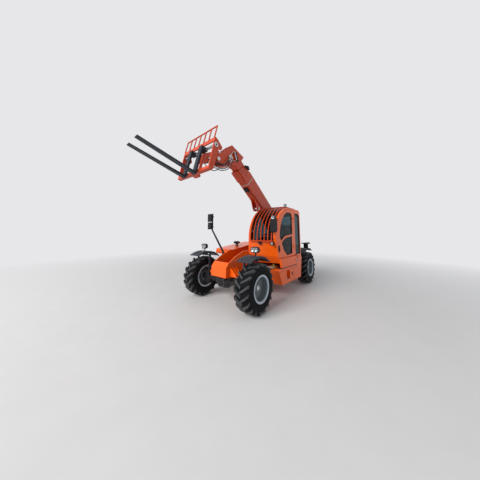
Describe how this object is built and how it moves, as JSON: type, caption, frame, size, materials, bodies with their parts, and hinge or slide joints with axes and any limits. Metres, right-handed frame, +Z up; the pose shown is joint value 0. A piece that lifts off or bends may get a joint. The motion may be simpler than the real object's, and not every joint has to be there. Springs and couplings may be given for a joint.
{
  "type": "telescopic handler with pallet forks",
  "caption": "Compact four-wheel telescopic handler, boom raised, with guarded cab, side engine and pallet forks on a tilting carriage",
  "frame": {"origin": "Under the middle of the whole machine's length and width, on the ground that its tyres stand on", "axes": "+X forward along the machine, +Y to its left, +Z up"},
  "size_m": [6.1657, 2.13, 3.9109],
  "materials": {
    "body_paint": "gloss",
    "black_paint": "satin",
    "rim_paint": "satin",
    "tyre_rubber": "matte",
    "chromed_steel": "polished",
    "engine_iron": "matte",
    "clear_glass": "clear",
    "black_plastic": "matte"
  },
  "bodies": {
    "chassis": {"chassis_frame": "body_paint", "boom_and_lift_pins": "chromed_steel", "counterweight": "body_paint", "axle_front": "black_paint", "axle_rear": "black_paint", "cab_shell": "body_paint", "cab_glass": "clear_glass", "cab_guard": "body_paint", "cab_sill": "body_paint", "seat": "black_plastic", "steering_column": "black_plastic", "side_box": "body_paint", "engine_bay": "black_paint", "engine": "engine_iron", "fenders_front": "black_plastic", "fenders_rear": "black_plastic", "headlamps": "black_plastic", "cab_lamps": "black_plastic", "mirror_left": "black_plastic", "mirror_right": "black_plastic", "rear_lamps": "black_plastic"},
    "hood": {"hood": "body_paint", "intake_cap": "black_plastic"},
    "door": {"door_frame": "black_paint", "door_glass": "clear_glass"},
    "boom": {"boom_outer": "body_paint"},
    "boom_extension": {"boom_inner": "body_paint", "boom_head": "body_paint"},
    "carriage": {"carriage": "body_paint", "load_guard": "body_paint", "fork_shaft": "black_paint"},
    "fork_left": {"fork_left": "black_paint"},
    "fork_right": {"fork_right": "black_paint"},
    "lift_barrel": {"lift_barrel": "body_paint"},
    "lift_rod": {"lift_rod": "chromed_steel"},
    "tilt_barrel": {"tilt_barrel": "body_paint"},
    "tilt_rod": {"tilt_rod": "chromed_steel"},
    "knuckle_front_left": {"knuckle_front_left": "black_paint"},
    "wheel_front_left": {"tyre_front_left": "tyre_rubber", "rim_front_left": "rim_paint"},
    "knuckle_front_right": {"knuckle_front_right": "black_paint"},
    "wheel_front_right": {"tyre_front_right": "tyre_rubber", "rim_front_right": "rim_paint"},
    "knuckle_rear_left": {"knuckle_rear_left": "black_paint"},
    "wheel_rear_left": {"tyre_rear_left": "tyre_rubber", "rim_rear_left": "rim_paint"},
    "knuckle_rear_right": {"knuckle_rear_right": "black_paint"},
    "wheel_rear_right": {"tyre_rear_right": "tyre_rubber", "rim_rear_right": "rim_paint"}
  },
  "joints": [
    {"name": "boom_lift", "type": "hinge", "parent": "chassis", "child": "boom", "pos_m": [-2.6028, -0.028, 1.225], "axis": [0, -1, 0], "range_deg": [-36, 26]},
    {"name": "boom_extend", "type": "slide", "parent": "boom", "child": "boom_extension", "axis": [0.809, 0, 0.5878], "range_m": [0, 2]},
    {"name": "carriage_tilt", "type": "hinge", "parent": "boom_extension", "child": "carriage", "pos_m": [1.31618, -0.028, 3.36775], "axis": [0, 1, 0], "range_deg": [-36, 84]},
    {"name": "fork_left_shift", "type": "slide", "parent": "carriage", "child": "fork_left", "axis": [0, 1, 0], "range_m": [-0.04, 0.285]},
    {"name": "fork_right_shift", "type": "slide", "parent": "carriage", "child": "fork_right", "axis": [0, -1, 0], "range_m": [-0.04, 0.285]},
    {"name": "lift_cylinder_swing", "type": "hinge", "parent": "chassis", "child": "lift_barrel", "pos_m": [-2.3528, -0.028, 0.75], "axis": [0, -1, 0], "range_deg": [-35.74, 26.09]},
    {"name": "lift_cylinder_stroke", "type": "slide", "parent": "lift_barrel", "child": "lift_rod", "axis": [0.757, 0, 0.6535], "range_m": [-0.3367, 0.246]},
    {"name": "tilt_cylinder_swing", "type": "hinge", "parent": "boom_extension", "child": "tilt_barrel", "pos_m": [0.39796, -0.028, 3.4917], "axis": [0, 1, 0], "range_deg": [-2.08, 3.52]},
    {"name": "tilt_cylinder_stroke", "type": "slide", "parent": "tilt_barrel", "child": "tilt_rod", "axis": [0.9971, 0, 0.0765], "range_m": [-0.1087, 0.2469]},
    {"name": "door_hinge", "type": "hinge", "parent": "chassis", "child": "door", "pos_m": [-0.9578, 0.942, 1.6], "axis": [0, 0, 1], "range_deg": [0, 95]},
    {"name": "hood_hinge", "type": "hinge", "parent": "chassis", "child": "hood", "pos_m": [-1.4168, -0.643, 1.005], "axis": [0, -1, 0], "range_deg": [0, 60]},
    {"name": "steer_front_left", "type": "hinge", "parent": "chassis", "child": "knuckle_front_left", "pos_m": [0.8972, 0.627, 0.5], "axis": [0, 0, 1], "range_deg": [-35, 35]},
    {"name": "spin_front_left", "type": "hinge", "parent": "knuckle_front_left", "child": "wheel_front_left", "pos_m": [0.8972, 0.837, 0.5], "axis": [0, 1, 0], "continuous": true},
    {"name": "steer_front_right", "type": "hinge", "parent": "chassis", "child": "knuckle_front_right", "pos_m": [0.8972, -0.683, 0.5], "axis": [0, 0, 1], "range_deg": [-35, 35]},
    {"name": "spin_front_right", "type": "hinge", "parent": "knuckle_front_right", "child": "wheel_front_right", "pos_m": [0.8972, -0.893, 0.5], "axis": [0, 1, 0], "continuous": true},
    {"name": "steer_rear_left", "type": "hinge", "parent": "chassis", "child": "knuckle_rear_left", "pos_m": [-2.1028, 0.627, 0.5], "axis": [0, 0, 1], "range_deg": [-35, 35]},
    {"name": "spin_rear_left", "type": "hinge", "parent": "knuckle_rear_left", "child": "wheel_rear_left", "pos_m": [-2.1028, 0.837, 0.5], "axis": [0, 1, 0], "continuous": true},
    {"name": "steer_rear_right", "type": "hinge", "parent": "chassis", "child": "knuckle_rear_right", "pos_m": [-2.1028, -0.683, 0.5], "axis": [0, 0, 1], "range_deg": [-35, 35]},
    {"name": "spin_rear_right", "type": "hinge", "parent": "knuckle_rear_right", "child": "wheel_rear_right", "pos_m": [-2.1028, -0.893, 0.5], "axis": [0, 1, 0], "continuous": true}
  ],
  "couplings": [
    {"joint": "lift_cylinder_swing", "follows": "boom_lift", "ratio": 0.965},
    {"joint": "lift_cylinder_stroke", "follows": "boom_lift", "m_per_rad": 0.52},
    {"joint": "tilt_cylinder_swing", "follows": "carriage_tilt", "ratio": 0.03},
    {"joint": "tilt_cylinder_stroke", "follows": "carriage_tilt", "m_per_rad": 0.165},
    {"joint": "steer_front_right", "follows": "steer_front_left", "ratio": 1},
    {"joint": "steer_rear_right", "follows": "steer_rear_left", "ratio": 1}
  ]
}
